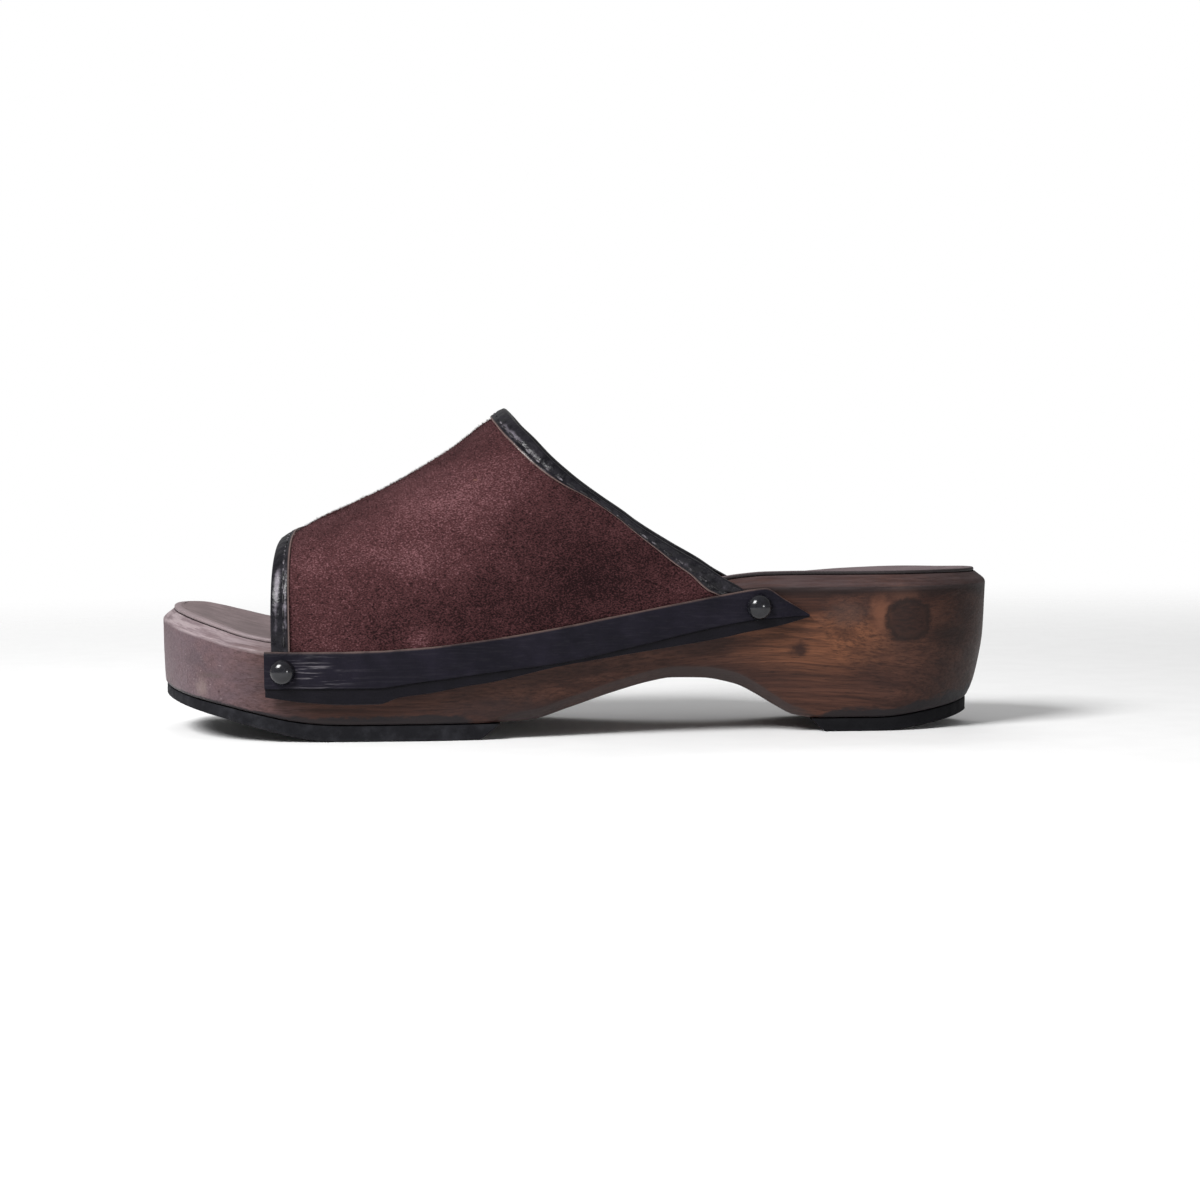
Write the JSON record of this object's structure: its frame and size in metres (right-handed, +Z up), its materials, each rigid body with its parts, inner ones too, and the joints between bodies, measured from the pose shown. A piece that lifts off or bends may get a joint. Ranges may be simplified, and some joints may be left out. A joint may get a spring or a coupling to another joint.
{
  "type": "wooden sole sandal",
  "caption": "Slip-on sandal with a carved wooden sole and heel, an open-toed suede vamp bound in black leather, and leather side strips held by dome studs.",
  "frame": {"origin": "on the floor, at the middle of the heel's flat tread", "axes": "toe toward -X and heel toward +X, outer side of the foot toward -Y, up is +Z"},
  "size_m": [0.2625, 0.1034, 0.1012],
  "materials": {
    "stained_wood": "satin brown stain over lengthwise grain, worn paler at the toe",
    "insole_leather": "smooth matte",
    "tread_rubber": "matte",
    "suede": "napped",
    "binding_leather": "smooth with a soft sheen",
    "strip_leather": "matte with fine creases",
    "black_stud": "gloss black"
  },
  "bodies": {
    "root": {"wood_sole": "stained_wood", "insole": "insole_leather", "forefoot_rubber": "tread_rubber", "heel_rubber": "tread_rubber", "suede_vamp": "suede", "toe_binding": "binding_leather", "instep_binding": "binding_leather", "side_strip_outer": "strip_leather", "side_strip_inner": "strip_leather", "stud_outer_front": "black_stud", "stud_outer_rear": "black_stud", "stud_inner_front": "black_stud", "stud_inner_rear": "black_stud"}
  },
  "joints": []
}
